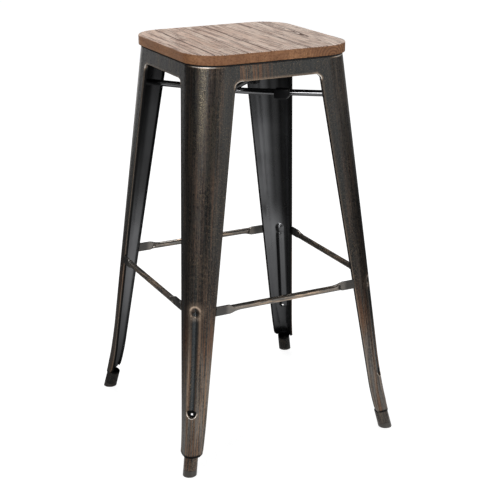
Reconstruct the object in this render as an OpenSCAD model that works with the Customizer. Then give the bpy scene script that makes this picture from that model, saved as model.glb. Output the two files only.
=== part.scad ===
// Bar stool with a footrest: pressed steel legs, a steel seat frame and a wooden seat board.
// Units are millimetres, +Z is up, the front is -Y, and the origin is on the floor under the seat centre.

/* [Seat] */
// Height of the seat board's top above the floor
seat_height = 762; // [600:1:850]
// Side of the square seat board
board_side = 320.5; // [280:0.5:380]
// Thickness of the seat board
board_thickness = 18; // [12:0.5:30]
// Plan radius of the board's corners
board_corner_radius = 62; // [20:1:80]
// Rounding along the board's top edge
board_edge_radius = 1.5; // [0.5:0.1:4]
// Plate thickness of the seat pan
pan_thickness = 1.2; // [0.8:0.1:2]
// Rounding of the pan's top rim
pan_rim_radius = 3.5; // [2:0.1:6]
// Depth of the pan's skirt below its top
pan_skirt_depth = 14; // [8:1:22]
// How far the pan stands above the legs and aprons
pan_stand = 4; // [2:0.5:8]

/* [Legs] */
// Half width of the frame across its outer faces at the pan's top
frame_half_top = 155.8; // [130:0.1:180]
// Outward lean of each leg face, in millimetres per millimetre of height
leg_lean = 0.0873; // [0.04:0.0001:0.14]
// Sheet thickness of the legs and aprons
sheet_thickness = 1.5; // [1:0.1:2.5]
// Width of one leg face at the pan's top
leg_width_top = 76.5; // [50:0.5:95]
// Width of one leg face where it would meet the floor
leg_width_floor = 29.4; // [24:0.1:45]
// Corner radius of the leg at the pan's top
corner_radius_top = 59.5; // [30:0.5:65]
// Corner radius of the leg above its narrow lower end
corner_radius_low = 28.5; // [20:0.5:40]
// Height where the lower corner radius is reached
corner_low_height = 150; // [110:1:180]
// Height where the corner has closed around the foot tube
corner_foot_height = 60; // [45:1:90]
// Height where the leg starts to flare out to the foot
flare_start_height = 105; // [80:1:140]
// Depth of the hem turned in along each leg edge
hem_depth = 6.6; // [4:0.1:12]
// Outside bend radius of the hems
hem_bend_radius = 1.8; // [1.6:0.1:3]
// Height of the leg sheet's lower end at the corner
leg_bottom_height = 35; // [25:1:50]
// How much higher the sheet ends at its hems
leg_bottom_rise = 5; // [0:0.5:12]
// Facets across the leg's rounded corner between the groove and each face
corner_steps = 3; // [2:1:5]

/* [Pressed groove] */
// Lower end of the groove in each leg's corner
groove_bottom = 107; // [60:1:200]
// Upper end of the groove
groove_top = 319; // [220:1:420]
// Depth of the groove
groove_depth = 5.5; // [2:0.1:7]
// Half width of the groove's floor, along the sheet
groove_floor_half = 2; // [1:0.1:8]
// Half width of the groove at its crests, along the sheet
groove_crest_half = 14.5; // [9:0.1:18]
// Length over which the groove's ends run out
groove_runout = 10; // [6:1:20]
// Radius of the drain hole at the groove's lower end
drain_radius = 2.2; // [1.5:0.1:5]

/* [Aprons] */
// Depth of the aprons' lower edge below the pan's top
apron_depth = 31.8; // [24:0.1:50]
// Half length of each apron between the weld seams
apron_half_length = 76; // [60:0.5:100]

/* [Footrests] */
// Height of the footrest bars' centre line
footrest_height = 307; // [200:1:400]
// Diameter of the footrest bars
footrest_diameter = 11.5; // [8:0.5:20]
// Distance of the bars' centre line behind the leg's outer face
footrest_inset = 1; // [0:0.1:4]
// Length of each flattened end
footrest_tab_length = 28; // [15:1:45]
// Height of the flattened ends
footrest_tab_height = 17.6; // [12:0.1:28]
// How far the flattened ends are set off the bar's axis, down at the left and up at the right
footrest_tab_shift = 1.6; // [0:0.1:3]
// Thickness of the flattened ends
footrest_tab_thickness = 4.4; // [3:0.1:7]
// Length of the change from round to flat
footrest_blend_length = 19; // [8:0.5:28]

/* [Cross brace] */
// Depth of the braces' crossing below the pan's top
brace_drop = 77; // [60:1:140]
// Diameter of the brace tubes
brace_diameter = 12; // [8:0.5:20]
// Half length of the level part at the crossing
brace_level_half = 20; // [10:1:40]
// Distance of each bumper's centre from the crossing
bumper_distance = 85; // [50:1:140]
// Length of a bumper
bumper_length = 31; // [20:1:45]
// Width of a bumper
bumper_width = 17; // [14:0.5:26]
// Depth of a bumper below its tube
bumper_below = 6; // [3:0.5:10]
// Bevel at the bumper's lower outer end
bumper_bevel = 7.5; // [2:0.5:9]
// Bevel at the bumper's lower inner end
bumper_inner_bevel = 1.5; // [0.5:0.5:6]
// Width of the slot that clips over the tube
bumper_slot = 9; // [6:0.5:11]

/* [Feet] */
// Outside diameter of the foot tubes
foot_diameter = 26; // [20:0.5:34]
// Wall thickness of the foot tubes
foot_wall = 1.5; // [1:0.1:3]
// How far the leg's lower end stands out from its straight line
foot_flare = 3.5; // [0:0.1:8]
// Outward lean of the foot tube along each axis
foot_lean = 0.2; // [0.1:0.01:0.3]
// Height of the foot tube's upper end at its centre line
foot_top_height = 37; // [25:1:60]
// Visible height of the glide below the tube
glide_height = 5; // [3:0.5:10]
// Length of the glide's plug inside the tube
glide_plug_length = 14; // [8:1:20]

/* [Screws] */
// Distance of the seat screws from the middle, along each axis
screw_spread = 88; // [50:1:120]
// Diameter of the screw shank
screw_diameter = 4; // [3:0.5:6]
// Diameter of the screw head
screw_head_diameter = 8.5; // [6:0.5:12]
// Height of the screw head
screw_head_height = 2.8; // [2:0.1:4]
// Depth of the screw in the board
screw_depth = 12; // [8:0.5:15]
// Outside diameter of the washers
washer_diameter = 13; // [10:0.5:20]
// Thickness of the washers
washer_thickness = 1.2; // [0.8:0.1:2]

/* [Hidden] */
// Round-surface resolution
$fn = 72;
// Clearance between pieces that fit around each other
fit_gap = 0.3;
// Small overlap used when solids of one piece are joined
join = 0.02;
board_bottom = seat_height - board_thickness;
pan_top = board_bottom;
rim_height = pan_top - pan_stand;
apron_bottom = pan_top - apron_depth;
brace_height = pan_top - brace_drop;
groove_mid_half = (groove_floor_half + groove_crest_half) / 2;
foot_radius = foot_diameter / 2;
corner_radius_foot = foot_radius + fit_gap + sheet_thickness;
leg_bottom_face = frame_half_top + leg_lean * (pan_top - leg_bottom_height) + foot_flare;
foot_spread = leg_bottom_face - corner_radius_foot + foot_lean * leg_bottom_height;
foot_tilt = atan(foot_lean * sqrt(2));
lean_angle = atan(leg_lean);
brace_rise = (brace_diameter + fit_gap) / 2;

// Every sub-part of the stool
// Sub-part to show, or "all"

// Distance of a leg's outer face plane from the middle at height z, without the flare
function face_plane(z) = frame_half_top + leg_lean * (pan_top - z);
// Extra outward bend of the leg's lower end at height z
function flare(z) = z >= flare_start_height ? 0
  : foot_flare * pow((flare_start_height - z) / (flare_start_height - leg_bottom_height), 2);
// Distance of a leg's outer face from the middle at height z
function face_at(z) = face_plane(z) + flare(z);
// Width of a leg face at height z
function leg_width(z) = leg_width_floor + (leg_width_top - leg_width_floor) * z / pan_top;
// Corner radius of the leg at height z
function corner_radius(z) = z >= corner_low_height
  ? corner_radius_low + (corner_radius_top - corner_radius_low) * (z - corner_low_height)
    / (pan_top - corner_low_height)
  : z >= corner_foot_height
  ? corner_radius_foot + (corner_radius_low - corner_radius_foot) * (z - corner_foot_height)
    / (corner_low_height - corner_foot_height)
  : corner_radius_foot;
// X of the leg's hemmed edge at height z
function edge_x(z) = face_at(z) - leg_width(z);

// Fillet between the leg's hem and the apron's lower edge
edge_slope = leg_lean + (leg_width_top - leg_width_floor) / pan_top;
fillet_radius = (edge_x(apron_bottom) - apron_half_length) / (1 - edge_slope);
fillet_start = apron_bottom - fillet_radius;
fillet_angles = [22.5, 45, 67.5, 90];

// Angle from the corner's middle to a point a given distance along the sheet
function corner_angle(half, z, most) = min(half / corner_radius(z) * 180 / PI, most);
// Column angles across one half of the rounded corner, from the face to the groove's floor
function half_angles(z) = let(
    crest = corner_angle(groove_crest_half, z, 33),
    middle = corner_angle(groove_mid_half, z, 24),
    floor_edge = corner_angle(groove_floor_half, z, 13))
  concat([for (i = [0 : corner_steps - 1]) 45 - (45 - crest) * i / corner_steps],
    [crest, middle, floor_edge]);
// Share of the groove's full depth at height z
function groove_share(z) = z <= groove_bottom || z >= groove_top ? 0
  : min(1, (z - groove_bottom) / groove_runout, (groove_top - z) / groove_runout);
function half_depths(z) = let(s = sin(90 * groove_share(z)))
  concat([for (i = [0 : corner_steps - 1]) 0], [0, groove_depth * s * s * 0.55, groove_depth * s]);
function reversed(v) = [for (i = [len(v) - 1 : -1 : 0]) v[i]];
function all_angles(z) = concat([for (a = half_angles(z)) 45 + a], [for (a = reversed(half_angles(z))) 45 - a]);
function all_depths(z) = concat(half_depths(z), reversed(half_depths(z)));

// One point of the corner, offset inward by t
function corner_point(z, angle, depth, t, zp) = let(r = corner_radius(z), c = face_at(z) - r)
  [c + (r - t - depth) * cos(angle), c + (r - t - depth) * sin(angle), zp];
function swap_xy(p) = [p[1], p[0], p[2]];
// The three edge points on the +Y face: hem tip, bend end, face end
function edge_points(z, t, ez) = let(f = face_at(ez), x = edge_x(ez)) [
  [x + t, f - hem_depth, ez],
  [x + t, f - max(hem_bend_radius, t), ez],
  [x + max(hem_bend_radius, t), f - t, ez]];
function fillet_points(a, t) = let(
    zb = fillet_start + (fillet_radius + t) * sin(a),
    xb = apron_half_length + (fillet_radius + t) * cos(a),
    zf = fillet_start + (fillet_radius + hem_bend_radius) * sin(a),
    xf = apron_half_length + (fillet_radius + hem_bend_radius) * cos(a)) [
  [xb, face_at(zb) - hem_depth, zb],
  [xb, face_at(zb) - hem_bend_radius, zb],
  [xf, face_at(zf) - t, zf]];
function full_row(z, e, t, zp) = concat(e,
  [for (i = [0 : len(all_angles(z)) - 1]) corner_point(z, all_angles(z)[i], all_depths(z)[i], t, zp)],
  reversed([for (p = e) swap_xy(p)]));

// Heights of the section rows, from the sheet's lower end up to the fillet
row_heights = [leg_bottom_height, (leg_bottom_height + corner_foot_height) / 2, corner_foot_height,
  (corner_foot_height + flare_start_height) / 2, flare_start_height - groove_runout / 3,
  groove_bottom, groove_bottom + groove_runout * 0.35, groove_bottom + groove_runout * 0.7,
  corner_low_height, groove_top - groove_runout, groove_top - groove_runout * 0.55,
  groove_top - groove_runout * 0.2, groove_top, fillet_start];
function skin_rows(t) = concat(
  [for (z = row_heights) full_row(z, edge_points(z, t, z + (z == leg_bottom_height ? leg_bottom_rise : 0)), t, z)],
  [for (a = fillet_angles) let(z = fillet_start + (fillet_radius + hem_bend_radius) * sin(a))
    full_row(z, fillet_points(a, t), t, z)]);
function rim_row(t) = let(z = rim_height, f = face_at(z)) concat(
  [[apron_half_length, f - t, z]],
  [for (i = [0 : len(all_angles(z)) - 1]) corner_point(z, all_angles(z)[i], 0, t, z)],
  [[f - t, apron_half_length, z]]);

// Pressed steel leg for the +X +Y corner
module leg_sheet() {
  outer = skin_rows(0);
  inner = skin_rows(sheet_thickness);
  rows = len(outer);
  cols = len(outer[0]);
  rim_cols = cols - 4;
  count = rows * cols;
  rim_start = 2 * count;
  function o(i, j) = i * cols + j;
  function n(i, j) = count + i * cols + j;
  function ro(j) = rim_start + j;
  function rn(j) = rim_start + rim_cols + j;
  points = concat([for (r = outer) each r], [for (r = inner) each r], rim_row(0), rim_row(sheet_thickness));
  last = rows - 1;
  faces = concat(
    [for (i = [0 : rows - 2], j = [0 : cols - 2], k = [0, 1])
      k == 0 ? [o(i, j), o(i + 1, j), o(i + 1, j + 1)] : [o(i, j), o(i + 1, j + 1), o(i, j + 1)]],
    [for (i = [0 : rows - 2], j = [0 : cols - 2], k = [0, 1])
      k == 0 ? [n(i, j), n(i + 1, j + 1), n(i + 1, j)] : [n(i, j), n(i, j + 1), n(i + 1, j + 1)]],
    [for (j = [0 : cols - 2], k = [0, 1])
      k == 0 ? [o(0, j), o(0, j + 1), n(0, j + 1)] : [o(0, j), n(0, j + 1), n(0, j)]],
    [for (i = [0 : rows - 2], k = [0, 1])
      k == 0 ? [o(i, 0), n(i, 0), n(i + 1, 0)] : [o(i, 0), n(i + 1, 0), o(i + 1, 0)]],
    [for (i = [0 : rows - 2], k = [0, 1])
      k == 0 ? [o(i, cols - 1), n(i + 1, cols - 1), n(i, cols - 1)]
        : [o(i, cols - 1), o(i + 1, cols - 1), n(i + 1, cols - 1)]],
    [for (j = [0, 1], k = [0, 1])
      k == 0 ? [o(last, j), n(last, j), n(last, j + 1)] : [o(last, j), n(last, j + 1), o(last, j + 1)]],
    [for (j = [cols - 3, cols - 2], k = [0, 1])
      k == 0 ? [o(last, j), n(last, j), n(last, j + 1)] : [o(last, j), n(last, j + 1), o(last, j + 1)]],
    [for (j = [0 : rim_cols - 2], k = [0, 1])
      k == 0 ? [o(last, j + 2), ro(j), ro(j + 1)] : [o(last, j + 2), ro(j + 1), o(last, j + 3)]],
    [for (j = [0 : rim_cols - 2], k = [0, 1])
      k == 0 ? [n(last, j + 2), rn(j + 1), rn(j)] : [n(last, j + 2), n(last, j + 3), rn(j + 1)]],
    [for (j = [0 : rim_cols - 2], k = [0, 1])
      k == 0 ? [ro(j), rn(j), rn(j + 1)] : [ro(j), rn(j + 1), ro(j + 1)]],
    [[o(last, 2), n(last, 2), rn(0)], [o(last, 2), rn(0), ro(0)]],
    [[o(last, cols - 3), rn(rim_cols - 1), n(last, cols - 3)],
      [o(last, cols - 3), ro(rim_cols - 1), rn(rim_cols - 1)]]);
  polyhedron(points = points, faces = faces, convexity = 10);
}

// Leg with the drain hole at the groove's lower end
module leg() {
  drain_height = groove_bottom + groove_runout;
  middle = face_at(drain_height) - corner_radius(drain_height);
  color([0.25, 0.22, 0.2])
    difference() {
      leg_sheet();
      translate([middle, middle, drain_height])
        rotate([0, 90, 45])
        cylinder(r = drain_radius, h = corner_radius_low * 2);
    }
}

// Places a +X +Y corner piece at the chosen corner
module at_corner(x_side, y_side) {
  mirror([x_side < 0 ? 1 : 0, 0, 0])
    mirror([0, y_side < 0 ? 1 : 0, 0])
    children();
}

module leg_front_left() {
  at_corner(-1, -1) leg();
}

module leg_front_right() {
  at_corner(1, -1) leg();
}

module leg_rear_left() {
  at_corner(-1, 1) leg();
}

module leg_rear_right() {
  at_corner(1, 1) leg();
}

// Apron on the +Y side: a leaning panel with a lip turned in along its lower edge
module apron() {
  bend_top = apron_bottom + hem_bend_radius;
  color([0.27, 0.23, 0.2])
    translate([-apron_half_length, 0, 0])
    rotate([90, 0, 90])
    linear_extrude(height = 2 * apron_half_length)
    polygon([
      [face_at(rim_height), rim_height],
      [face_at(bend_top), bend_top],
      [face_at(apron_bottom) - hem_bend_radius, apron_bottom],
      [face_at(apron_bottom) - hem_depth, apron_bottom],
      [face_at(apron_bottom) - hem_depth, apron_bottom + sheet_thickness],
      [face_at(bend_top) - hem_bend_radius, apron_bottom + sheet_thickness],
      [face_at(bend_top) - sheet_thickness, bend_top],
      [face_at(rim_height) - sheet_thickness, rim_height]]);
}

module apron_rear() {
  apron();
}

module apron_front() {
  rotate([0, 0, 180]) apron();
}

module apron_left() {
  rotate([0, 0, 90]) apron();
}

module apron_right() {
  rotate([0, 0, -90]) apron();
}

// Cross-section of a slab of given half width and height with rounded upper edges
module slab_section(half, height, edge) {
  translate([-half, 0])
    square([2 * half, height - edge]);
  translate([-half + edge, 0])
    square([2 * (half - edge), height]);
  for (side = [-1, 1])
    translate([side * (half - edge), height - edge])
    circle(r = edge);
}

// Square slab with round corners in plan and a rounded upper edge
module rounded_slab(half, radius, height, edge) {
  reach = half - radius;
  for (turn = [0, 90])
    rotate([0, 0, turn])
    translate([-reach, 0, 0])
    rotate([90, 0, 90])
    linear_extrude(height = 2 * reach)
    slab_section(half, height, edge);
  for (x = [-reach, reach], y = [-reach, reach])
    translate([x, y, 0])
    rotate_extrude()
    union() {
      square([radius, height - edge]);
      square([radius - edge, height]);
      translate([radius - edge, height - edge])
        circle(r = edge);
    }
}

// The four screw positions
module at_screws() {
  for (x = [-screw_spread, screw_spread], y = [-screw_spread, screw_spread])
    translate([x, y, 0])
    children();
}

module seat_board() {
  color([0.74, 0.58, 0.44])
    difference() {
      translate([0, 0, board_bottom])
        rounded_slab(board_side / 2, board_corner_radius, board_thickness, board_edge_radius);
      at_screws()
        translate([0, 0, board_bottom - 1])
        cylinder(r = screw_diameter / 2 + fit_gap, h = screw_depth + 2);
    }
}

// Solid block with round corners in plan and a rounded upper edge, as one convex shape
module rounded_block(half, radius, height, edge) {
  reach = half - radius;
  hull()
    for (x = [-reach, reach], y = [-reach, reach])
      translate([x, y, 0])
        rotate_extrude($fn = 48)
        union() {
          square([radius, height - edge]);
          translate([radius - edge, height - edge])
            circle(r = edge, $fn = 16);
        }
}

// Shallow pressed pan that closes the frame under the board
module seat_pan() {
  half = face_at(rim_height) - sheet_thickness - fit_gap;
  radius = corner_radius(rim_height) - sheet_thickness - fit_gap;
  color([0.2, 0.19, 0.19])
    difference() {
      translate([0, 0, pan_top - pan_skirt_depth])
        rounded_block(half, radius, pan_skirt_depth, pan_rim_radius);
      translate([0, 0, pan_top - 2 * pan_skirt_depth])
        rounded_block(half - pan_thickness, radius - pan_thickness,
          2 * pan_skirt_depth - pan_thickness, pan_rim_radius - pan_thickness);
      at_screws()
        translate([0, 0, pan_top - 2 * pan_thickness])
        cylinder(r = screw_diameter / 2 + fit_gap, h = 3 * pan_thickness);
    }
}

module screw_washers() {
  color([0.6, 0.6, 0.6])
    at_screws()
    translate([0, 0, pan_top - pan_thickness - washer_thickness])
    difference() {
      cylinder(r = washer_diameter / 2, h = washer_thickness);
      translate([0, 0, -1])
        cylinder(r = screw_diameter / 2 + fit_gap, h = washer_thickness + 2);
    }
}

module seat_screws() {
  head_top = pan_top - pan_thickness - washer_thickness;
  color([0.65, 0.65, 0.65])
    at_screws()
    union() {
      translate([0, 0, head_top - screw_head_height])
        cylinder(r1 = screw_head_diameter / 2 - 0.8, r2 = screw_head_diameter / 2, h = screw_head_height);
      translate([0, 0, head_top - join])
        cylinder(r = screw_diameter / 2, h = board_bottom + screw_depth - head_top + join);
    }
}

// Footrest on the +Y side: a round bar with flattened ends butted to the leg hems
module footrest() {
  tab_half = footrest_tab_height / 2;
  tab_start = edge_x(footrest_height) - footrest_tab_length;
  bar_end = tab_start - footrest_blend_length;
  color([0.2, 0.19, 0.19])
    translate([0, face_at(footrest_height) - footrest_inset, 0])
    union() {
      translate([-bar_end, 0, footrest_height])
        rotate([0, 90, 0])
        cylinder(r = footrest_diameter / 2, h = 2 * bar_end);
      for (side = [0, 1])
        let(
          tab_low = footrest_height - tab_half + (2 * side - 1) * footrest_tab_shift,
          tab_high = tab_low + footrest_tab_height)
        mirror([side, 0, 0]) {
          translate([0, footrest_tab_thickness / 2, 0])
            rotate([90, 0, 0])
            linear_extrude(height = footrest_tab_thickness)
            polygon([
              [tab_start - join, tab_low],
              [edge_x(tab_low), tab_low],
              [edge_x(tab_high), tab_high],
              [tab_start - join, tab_high]]);
          hull() {
            translate([bar_end - join, 0, footrest_height])
              rotate([0, 90, 0])
              cylinder(r = footrest_diameter / 2, h = join, $fn = 24);
            translate([tab_start, -footrest_tab_thickness / 2, tab_low])
              cube([join, footrest_tab_thickness, footrest_tab_height]);
          }
        }
    }
}

module footrest_rear() {
  footrest();
}

module footrest_front() {
  rotate([0, 0, 180]) footrest();
}

module footrest_left() {
  rotate([0, 0, 90]) footrest();
}

module footrest_right() {
  rotate([0, 0, -90]) footrest();
}

// Distance from the middle, along the diagonal, of the leg's inner corner face at height z
function inner_corner(z) = (face_at(z) - corner_radius(z)) * sqrt(2) + corner_radius(z) - sheet_thickness;
// Square end of a brace, clear of the leg's inner corner face
brace_end = inner_corner(brace_height + brace_diameter / 2)
  - (corner_radius_top - sqrt(pow(corner_radius_top, 2) - pow(brace_diameter / 2, 2))) - fit_gap;
brace_slope = atan(brace_rise / (brace_end - brace_level_half));

// Thin upright disc that marks one station along a brace
module brace_station(x, z) {
  translate([x, 0, z])
    rotate([0, 90, 0])
    cylinder(r = brace_diameter / 2, h = join, center = true, $fn = 24);
}

// Diagonal brace along +X, dipping (bend = -1) or rising (bend = 1) towards its ends
module brace(bend) {
  middle = brace_height - bend * brace_rise;
  color([0.12, 0.12, 0.12])
    union() {
      hull() {
        brace_station(-brace_level_half, middle);
        brace_station(brace_level_half, middle);
      }
      for (side = [-1, 1])
        hull() {
          brace_station(side * brace_level_half, middle);
          brace_station(side * brace_end, brace_height);
        }
    }
}

module brace_upper() {
  rotate([0, 0, 45]) brace(-1);
}

module brace_lower() {
  rotate([0, 0, -45]) brace(1);
}

// Moulded bumper clipped over one arm of a brace
module bumper(turn, bend) {
  arm = (bumper_distance - brace_level_half) * tan(brace_slope);
  top = brace_diameter / 2 + 1;
  low = -brace_diameter / 2 - bumper_below;
  half = bumper_length / 2;
  color([0.1, 0.1, 0.11])
    rotate([0, 0, turn])
    translate([bumper_distance, 0, brace_height - bend * brace_rise + bend * arm])
    rotate([0, -bend * brace_slope, 0])
    difference() {
      translate([0, bumper_width / 2, 0])
        rotate([90, 0, 0])
        linear_extrude(height = bumper_width)
        polygon([[-half, top], [-half, low + bumper_inner_bevel], [-half + bumper_inner_bevel, low],
          [half - bumper_bevel, low], [half, low + bumper_bevel], [half, top]]);
      translate([-bumper_length, 0, 0])
        rotate([0, 90, 0])
        cylinder(r = brace_diameter / 2 + fit_gap, h = 2 * bumper_length);
      translate([-bumper_length, -bumper_slot / 2, 0])
        cube([2 * bumper_length, bumper_slot, brace_diameter]);
    }
}

module bumper_front_left() {
  bumper(225, -1);
}

module bumper_front_right() {
  bumper(-45, 1);
}

module bumper_rear_left() {
  bumper(135, 1);
}

module bumper_rear_right() {
  bumper(45, -1);
}

// Places children along the leaning axis of the +X +Y foot, with its floor point at the origin
module on_foot_axis() {
  translate([foot_spread, foot_spread, 0])
    rotate([0, 0, 45])
    rotate([0, -foot_tilt, 0])
    children();
}

// Height of the seam between the glide and the foot tube, measured up the axis
glide_seam = glide_height + foot_radius * sin(foot_tilt);

module foot_tube() {
  color([0.24, 0.21, 0.19])
    on_foot_axis()
    translate([0, 0, glide_seam])
    difference() {
      cylinder(r = foot_radius, h = foot_top_height / cos(foot_tilt) - glide_seam);
      translate([0, 0, -1])
        cylinder(r = foot_radius - foot_wall, h = foot_top_height * 2);
    }
}

module foot_tube_front_left() {
  at_corner(-1, -1) foot_tube();
}

module foot_tube_front_right() {
  at_corner(1, -1) foot_tube();
}

module foot_tube_rear_left() {
  at_corner(-1, 1) foot_tube();
}

module foot_tube_rear_right() {
  at_corner(1, 1) foot_tube();
}

// Moulded glide: a plug in the tube with a sole cut level with the floor
module glide() {
  color([0.08, 0.08, 0.08])
    intersection() {
      on_foot_axis()
        union() {
          translate([0, 0, -foot_diameter / 2])
            cylinder(r = foot_radius, h = glide_seam + foot_diameter / 2);
          cylinder(r = foot_radius - foot_wall - fit_gap, h = glide_seam + glide_plug_length);
        }
      translate([foot_spread - foot_diameter, foot_spread - foot_diameter, 0])
        cube([2 * foot_diameter, 2 * foot_diameter, 2 * foot_diameter]);
    }
}

module glide_front_left() {
  at_corner(-1, -1) glide();
}

module glide_front_right() {
  at_corner(1, -1) glide();
}

module glide_rear_left() {
  at_corner(-1, 1) glide();
}

module glide_rear_right() {
  at_corner(1, 1) glide();
}

seat_board();
seat_pan();
leg_front_left();
leg_front_right();
leg_rear_left();
leg_rear_right();
apron_front();
apron_rear();
apron_left();
apron_right();
footrest_front();
footrest_rear();
footrest_left();
footrest_right();
brace_upper();
brace_lower();
bumper_front_left();
bumper_front_right();
bumper_rear_left();
bumper_rear_right();
foot_tube_front_left();
foot_tube_front_right();
foot_tube_rear_left();
foot_tube_rear_right();
glide_front_left();
glide_front_right();
glide_rear_left();
glide_rear_right();
seat_screws();
screw_washers();
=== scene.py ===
"""Bar stool with a footrest: the finished look of its pressed steel legs, seat frame and wooden board.

Every piece is a surface worked out on a grid of two parameters, in millimetres, and put into the
frame in metres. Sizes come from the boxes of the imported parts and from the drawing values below.
"""
import math

import bpy
import numpy as np
from mathutils import Matrix, Vector


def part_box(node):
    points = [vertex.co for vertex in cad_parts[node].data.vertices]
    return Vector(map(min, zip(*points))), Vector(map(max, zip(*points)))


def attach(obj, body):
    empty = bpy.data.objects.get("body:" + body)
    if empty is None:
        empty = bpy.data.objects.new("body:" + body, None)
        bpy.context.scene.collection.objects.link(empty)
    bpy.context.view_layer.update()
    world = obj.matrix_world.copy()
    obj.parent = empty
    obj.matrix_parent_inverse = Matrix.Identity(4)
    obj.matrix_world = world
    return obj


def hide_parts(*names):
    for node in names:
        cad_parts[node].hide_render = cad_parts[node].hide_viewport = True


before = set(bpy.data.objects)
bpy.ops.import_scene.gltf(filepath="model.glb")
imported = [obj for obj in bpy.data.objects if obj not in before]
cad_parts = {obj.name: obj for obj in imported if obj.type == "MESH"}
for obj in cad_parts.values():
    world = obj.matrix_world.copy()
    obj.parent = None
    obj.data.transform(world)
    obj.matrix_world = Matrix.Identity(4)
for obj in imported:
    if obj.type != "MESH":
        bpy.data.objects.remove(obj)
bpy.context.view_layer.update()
MM = 0.001


# ---------------- camera
CAMERA_AZIMUTH, CAMERA_ELEVATION, CAMERA_ROLL, CAMERA_LENS = -26.354, 19.369, -0.268, 85.38
CAMERA_AIM, CAMERA_RIGHT, CAMERA_UP, CAMERA_BACK = (0, 0, 0.38), 0.017367, -0.037824, 2.3438


def toward(azimuth, elevation):
    """Unit vector towards an azimuth and elevation in degrees; azimuth 0 is the front, 90 the right."""
    a, e = math.radians(azimuth), math.radians(elevation)
    return Vector((math.sin(a) * math.cos(e), -math.cos(a) * math.cos(e), math.sin(e)))


def make_camera():
    """Camera at standing height, left of the front face, with a slight roll and no lens shift."""
    back = toward(CAMERA_AZIMUTH, CAMERA_ELEVATION)
    roll = math.radians(CAMERA_ROLL)
    level = (-back).cross(Vector((0, 0, 1))).normalized()
    rise = level.cross(-back)
    right = math.cos(roll) * level + math.sin(roll) * rise
    up = math.cos(roll) * rise - math.sin(roll) * level
    place = Vector(CAMERA_AIM) + CAMERA_RIGHT * right + CAMERA_UP * up + CAMERA_BACK * back
    camera = bpy.data.objects.new("camera", bpy.data.cameras.new("camera"))
    bpy.context.scene.collection.objects.link(camera)
    camera.matrix_world = Matrix(((right.x, up.x, back.x, place.x), (right.y, up.y, back.y, place.y),
                                  (right.z, up.z, back.z, place.z), (0, 0, 0, 1)))
    camera.data.sensor_width = 36
    camera.data.lens = CAMERA_LENS
    camera.data.clip_start, camera.data.clip_end = 0.05, 60
    bpy.context.scene.camera = camera


make_camera()


# ---------------- sizes, in millimetres
def top_of(node):
    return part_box(node)[1] / MM


def low_of(node):
    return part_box(node)[0] / MM


SEAT_TOP = top_of("seat_board").z
PAN_TOP = low_of("seat_board").z
BOARD_HALF = top_of("seat_board").x
RIM = top_of("apron_rear").z
APRON_LOW = low_of("apron_rear").z
SEAM = top_of("apron_rear").x
LEG_LOW = low_of("leg_rear_right").z
BAR_HEIGHT = (top_of("footrest_rear").z + low_of("footrest_rear").z) / 2
BRACE_HEIGHT = (top_of("brace_upper").z + low_of("brace_lower").z) / 2
FRAME_HALF_TOP, LEAN, SHEET, GAP = 155.8, 0.0873, 1.5, 0.3
WIDTH_TOP, WIDTH_FLOOR = 76.5, 29.4
FLARE_START, FLARE_END, FLARE = 105.0, 35.0, 3.5
RADIUS_HEIGHTS, RADIUS_MIDDLE, RADIUS_TOP = (60.0, 150.0), 28.5, 59.5
HEM, HEM_BEND, HEM_COLUMNS, FACE_COLUMNS, CREST, CREST_SHARE = 6.6, 1.8, 9, 15, 17.0, 0.92
CUT_RISE, CUT_TALL, CUT_WIDE = 5.0, 12.5, 7.0
FILLET_MIDDLE, FILLET_TALL = 72.0, 9.5
FOOT_RADIUS, FOOT_WALL, FOOT_LEAN, FOOT_TOP, SOLE, FOOT_EASE = 13.0, 1.5, 0.2, 37.0, 5.0, 0.5
GROOVE_DEPTH, GROOVE_HALF = 5.8, 9.0
DRAIN_HEIGHT, DRAIN_RADIUS = 114.5, 2.2
DIMPLE_HEIGHT, DIMPLE_RADIUS, DIMPLE_DEPTH = 306.5, 9.6, 6.8
POCKET_HEIGHT, POCKET_RADIUS = 118.5, 9.7
BAR_RADIUS, BAR_SINK, TAB_LENGTH, TAB_HEIGHT, TAB_HALF_THICK, TAB_SHIFT = 5.75, 1.0, 28.0, 17.6, 2.2, 1.6
TAB_LEAN, TAB_END, TAB_ROWS_END = 24.0, 22.0, 52.0
BRACE_RADIUS, BRACE_LEVEL, BRACE_EASE, BRACE_CENTRE = 6.0, 20.0, 9.0, 45.0
BRACE_CLEAR = BRACE_RADIUS + GAP / 2
BRACE_END = (top_of("brace_upper").x + top_of("brace_upper").y) / math.sqrt(2) - BRACE_RADIUS
BUMPER_PLACE, BUMPER_LENGTH, BUMPER_WIDTH, BUMPER_TOP, BUMPER_LOW = 85.0, 31.0, 17.0, 7.0, -12.0
BUMPER_BEVEL, BUMPER_INNER_BEVEL, BUMPER_SLOT, BUMPER_EDGE, BUMPER_FLOOR = 7.5, 1.5, 9.0, 1.4, 6.0
BOARD_CORNER, BOARD_EDGE, BOARD_UNDER_EDGE = 62.0, 1.5, 0.8
PAN_EDGE, PAN_SHEET, PAN_SKIRT, PAN_BAND = 3.5, 1.2, 14.0, 8.0
FOOT_RING = FOOT_RADIUS + GAP + SHEET
# the board's growth rings, in metres: heart at Y 0 (X, Z), its drift along Y, pitch, and (radius, width)
HEART, HEART_DRIFT, RING_PITCH = (0.117, 0.7545), (0.05, 0.075), 0.0041
BOLD_RINGS = ((0.128, 0.0024), (0.2325, 0.0024), (0.052, 0.002), (0.0068, 0.0010), (0.0098, 0.0011),
              (0.172, 0.0016))
# near-black for painted shade: hem tips, the groove's lower end, the band at the foot, the insides
PAINTED_SHADE_BLACK = (0.004, 0.004, 0.004)


def step(x):
    """Smooth step: 0 below 0, 1 above 1, and 3x^2 - 2x^3 between."""
    x = np.clip(x, 0.0, 1.0)
    return x * x * (3 - 2 * x)


def bell(x):
    """Bell curve: e to the power of -x^2."""
    return np.exp(-x ** 2)


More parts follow.
